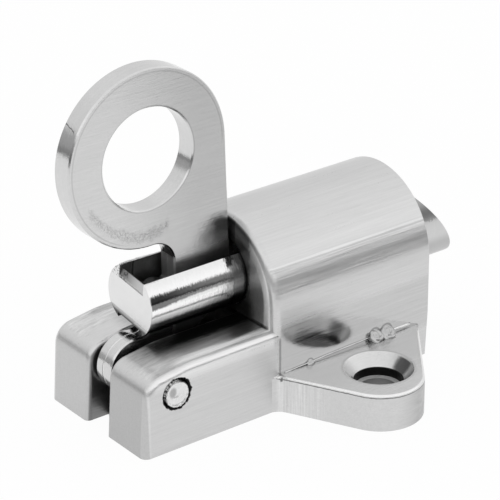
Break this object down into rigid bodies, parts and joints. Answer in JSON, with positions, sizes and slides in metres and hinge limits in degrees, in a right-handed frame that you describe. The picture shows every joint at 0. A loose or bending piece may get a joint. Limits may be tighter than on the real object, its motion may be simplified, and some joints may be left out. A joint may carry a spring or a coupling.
{
  "type": "spring loaded slide bolt",
  "caption": "Surface-mounted slide bolt: arched housing with screw flanges, sprung round bolt with a slanted nose, and a pull ring on a lever that tilts back to draw the bolt in.",
  "frame": {"origin": "on the mounting plane, midway between the two screw holes", "axes": "+X the way the bolt comes out, +Z away from the mounting plane, Y along the line of the screw holes"},
  "size_m": [0.0754, 0.0612, 0.0602],
  "materials": {
    "housing": "satin brushed nickel on a casting",
    "bolt": "polished stem, satin nose",
    "lever": "satin faces, polished rim",
    "pin": "bright, staked ends",
    "spring": "drawn spring wire"
  },
  "bodies": {
    "housing": {"housing": "housing", "cross_pin": "pin", "compression_spring": "spring"},
    "lever": {"pull_lever": "lever"},
    "bolt": {"slide_bolt": "bolt"}
  },
  "joints": [
    {"name": "lever_tilt", "type": "hinge", "parent": "housing", "child": "lever", "pos_m": [-0.0347, 0, 0.0099], "axis": [0, -1, 0], "range_deg": [0, 60]},
    {"name": "bolt_slide", "type": "slide", "parent": "housing", "child": "bolt", "axis": [-1, 0, 0], "range_m": [0, 0.01199], "stiffness_N_per_m": 1550, "springref_m": -0.006, "deforming": ["compression_spring"]}
  ],
  "couplings": [
    {"joint": "lever_tilt", "follows": "bolt_slide", "rad_per_m": 87.32}
  ]
}
